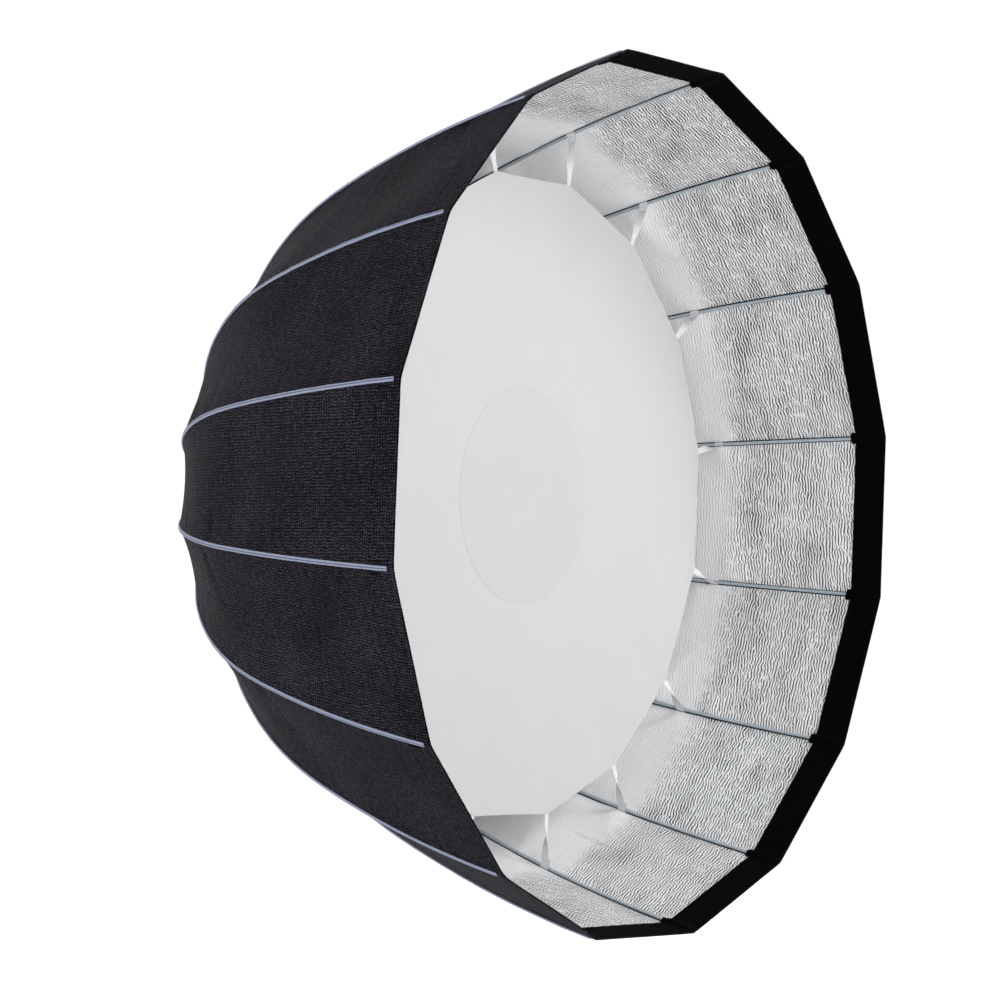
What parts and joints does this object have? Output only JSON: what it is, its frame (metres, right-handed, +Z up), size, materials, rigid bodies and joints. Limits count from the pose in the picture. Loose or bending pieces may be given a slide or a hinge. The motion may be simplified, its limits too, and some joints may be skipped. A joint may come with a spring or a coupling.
{
  "type": "folding octabox softbox",
  "caption": "Deep folding softbox with a flexed rib and a sewn skin panel for each side, silver lining, inner diffuser and a rotating bayonet speedring.",
  "frame": {"origin": "centre of the bayonet throat, level with the rear face that seats on the flash head", "axes": "+Y along the box's axis to the rear, where the flash head leaves; the mouth opens to -Y; +Z up, with a flat side on top"},
  "size_m": [1.1764, 0.7101, 1.1764],
  "materials": {
    "black_fabric": "woven nylon, silver foil laminate inside, blue-grey piping along the seams",
    "diffuser_cloth": "plain white translucent diffusion cloth",
    "strap_webbing": "flat white webbing",
    "rod": "slim sprung rod, light blue-grey coat",
    "socket_plastic": "moulded glass-filled nylon, matt black",
    "black_plastic": "moulded glass-filled nylon, matt black",
    "aluminium": "turned, fine satin",
    "nylon": "natural nylon",
    "screw_steel": "zinc plated",
    "pin_steel": "ground steel"
  },
  "bodies": {
    "bayonet": {"bayonet_insert": "aluminium", "retaining_ring": "aluminium", "retaining_screws": "screw_steel"},
    "hub": {"speedring_body": "black_plastic", "slip_washer": "nylon", "hinge_pins": "pin_steel", "front_cover": "black_plastic", "cover_screws": "screw_steel", "rear_cuff": "black_fabric", "inner_diffuser": "diffuser_cloth", "diffuser_centre_patch": "diffuser_cloth", "diffuser_straps": "strap_webbing"},
    "rib_01": {"rib_rod_01": "rod", "rib_socket_01": "socket_plastic", "gore_01": "black_fabric"},
    "rib_02": {"rib_rod_02": "rod", "rib_socket_02": "socket_plastic", "gore_02": "black_fabric"},
    "rib_03": {"rib_rod_03": "rod", "rib_socket_03": "socket_plastic", "gore_03": "black_fabric"},
    "rib_04": {"rib_rod_04": "rod", "rib_socket_04": "socket_plastic", "gore_04": "black_fabric"},
    "rib_05": {"rib_rod_05": "rod", "rib_socket_05": "socket_plastic", "gore_05": "black_fabric"},
    "rib_06": {"rib_rod_06": "rod", "rib_socket_06": "socket_plastic", "gore_06": "black_fabric"},
    "rib_07": {"rib_rod_07": "rod", "rib_socket_07": "socket_plastic", "gore_07": "black_fabric"},
    "rib_08": {"rib_rod_08": "rod", "rib_socket_08": "socket_plastic", "gore_08": "black_fabric"},
    "rib_09": {"rib_rod_09": "rod", "rib_socket_09": "socket_plastic", "gore_09": "black_fabric"},
    "rib_10": {"rib_rod_10": "rod", "rib_socket_10": "socket_plastic", "gore_10": "black_fabric"},
    "rib_11": {"rib_rod_11": "rod", "rib_socket_11": "socket_plastic", "gore_11": "black_fabric"},
    "rib_12": {"rib_rod_12": "rod", "rib_socket_12": "socket_plastic", "gore_12": "black_fabric"},
    "rib_13": {"rib_rod_13": "rod", "rib_socket_13": "socket_plastic", "gore_13": "black_fabric"},
    "rib_14": {"rib_rod_14": "rod", "rib_socket_14": "socket_plastic", "gore_14": "black_fabric"},
    "rib_15": {"rib_rod_15": "rod", "rib_socket_15": "socket_plastic", "gore_15": "black_fabric"},
    "rib_16": {"rib_rod_16": "rod", "rib_socket_16": "socket_plastic", "gore_16": "black_fabric"}
  },
  "joints": [
    {"name": "ring_rotation", "type": "hinge", "parent": "bayonet", "child": "hub", "pos_m": [0, 0, 0], "axis": [0, 1, 0], "continuous": true},
    {"name": "rib_fold_01", "type": "hinge", "parent": "hub", "child": "rib_01", "pos_m": [-0.01912, -0.02, 0.09612], "axis": [0.9808, 0, 0.1951], "range_deg": [0, 39], "deforming": ["gore_01", "inner_diffuser", "diffuser_centre_patch", "diffuser_straps", "rear_cuff"]},
    {"name": "rib_fold_02", "type": "hinge", "parent": "hub", "child": "rib_02", "pos_m": [0.01912, -0.02, 0.09612], "axis": [0.9808, 0, -0.1951], "range_deg": [0, 39], "deforming": ["gore_02"]},
    {"name": "rib_fold_03", "type": "hinge", "parent": "hub", "child": "rib_03", "pos_m": [0.05445, -0.02, 0.08148], "axis": [0.8315, 0, -0.5556], "range_deg": [0, 39], "deforming": ["gore_03"]},
    {"name": "rib_fold_04", "type": "hinge", "parent": "hub", "child": "rib_04", "pos_m": [0.08148, -0.02, 0.05445], "axis": [0.5556, 0, -0.8315], "range_deg": [0, 39], "deforming": ["gore_04"]},
    {"name": "rib_fold_05", "type": "hinge", "parent": "hub", "child": "rib_05", "pos_m": [0.09612, -0.02, 0.01912], "axis": [0.1951, 0, -0.9808], "range_deg": [0, 39], "deforming": ["gore_05"]},
    {"name": "rib_fold_06", "type": "hinge", "parent": "hub", "child": "rib_06", "pos_m": [0.09612, -0.02, -0.01912], "axis": [-0.1951, 0, -0.9808], "range_deg": [0, 39], "deforming": ["gore_06"]},
    {"name": "rib_fold_07", "type": "hinge", "parent": "hub", "child": "rib_07", "pos_m": [0.08148, -0.02, -0.05445], "axis": [-0.5556, 0, -0.8315], "range_deg": [0, 39], "deforming": ["gore_07"]},
    {"name": "rib_fold_08", "type": "hinge", "parent": "hub", "child": "rib_08", "pos_m": [0.05445, -0.02, -0.08148], "axis": [-0.8315, 0, -0.5556], "range_deg": [0, 39], "deforming": ["gore_08"]},
    {"name": "rib_fold_09", "type": "hinge", "parent": "hub", "child": "rib_09", "pos_m": [0.01912, -0.02, -0.09612], "axis": [-0.9808, 0, -0.1951], "range_deg": [0, 39], "deforming": ["gore_09"]},
    {"name": "rib_fold_10", "type": "hinge", "parent": "hub", "child": "rib_10", "pos_m": [-0.01912, -0.02, -0.09612], "axis": [-0.9808, 0, 0.1951], "range_deg": [0, 39], "deforming": ["gore_10"]},
    {"name": "rib_fold_11", "type": "hinge", "parent": "hub", "child": "rib_11", "pos_m": [-0.05445, -0.02, -0.08148], "axis": [-0.8315, 0, 0.5556], "range_deg": [0, 39], "deforming": ["gore_11"]},
    {"name": "rib_fold_12", "type": "hinge", "parent": "hub", "child": "rib_12", "pos_m": [-0.08148, -0.02, -0.05445], "axis": [-0.5556, 0, 0.8315], "range_deg": [0, 39], "deforming": ["gore_12"]},
    {"name": "rib_fold_13", "type": "hinge", "parent": "hub", "child": "rib_13", "pos_m": [-0.09612, -0.02, -0.01912], "axis": [-0.1951, 0, 0.9808], "range_deg": [0, 39], "deforming": ["gore_13"]},
    {"name": "rib_fold_14", "type": "hinge", "parent": "hub", "child": "rib_14", "pos_m": [-0.09612, -0.02, 0.01912], "axis": [0.1951, 0, 0.9808], "range_deg": [0, 39], "deforming": ["gore_14"]},
    {"name": "rib_fold_15", "type": "hinge", "parent": "hub", "child": "rib_15", "pos_m": [-0.08148, -0.02, 0.05445], "axis": [0.5556, 0, 0.8315], "range_deg": [0, 39], "deforming": ["gore_15"]},
    {"name": "rib_fold_16", "type": "hinge", "parent": "hub", "child": "rib_16", "pos_m": [-0.05445, -0.02, 0.08148], "axis": [0.8315, 0, 0.5556], "range_deg": [0, 39], "deforming": ["gore_16"]}
  ],
  "couplings": [
    {"joint": "rib_fold_02", "follows": "rib_fold_01", "ratio": 1},
    {"joint": "rib_fold_03", "follows": "rib_fold_01", "ratio": 1},
    {"joint": "rib_fold_04", "follows": "rib_fold_01", "ratio": 1},
    {"joint": "rib_fold_05", "follows": "rib_fold_01", "ratio": 1},
    {"joint": "rib_fold_06", "follows": "rib_fold_01", "ratio": 1},
    {"joint": "rib_fold_07", "follows": "rib_fold_01", "ratio": 1},
    {"joint": "rib_fold_08", "follows": "rib_fold_01", "ratio": 1},
    {"joint": "rib_fold_09", "follows": "rib_fold_01", "ratio": 1},
    {"joint": "rib_fold_10", "follows": "rib_fold_01", "ratio": 1},
    {"joint": "rib_fold_11", "follows": "rib_fold_01", "ratio": 1},
    {"joint": "rib_fold_12", "follows": "rib_fold_01", "ratio": 1},
    {"joint": "rib_fold_13", "follows": "rib_fold_01", "ratio": 1},
    {"joint": "rib_fold_14", "follows": "rib_fold_01", "ratio": 1},
    {"joint": "rib_fold_15", "follows": "rib_fold_01", "ratio": 1},
    {"joint": "rib_fold_16", "follows": "rib_fold_01", "ratio": 1}
  ]
}
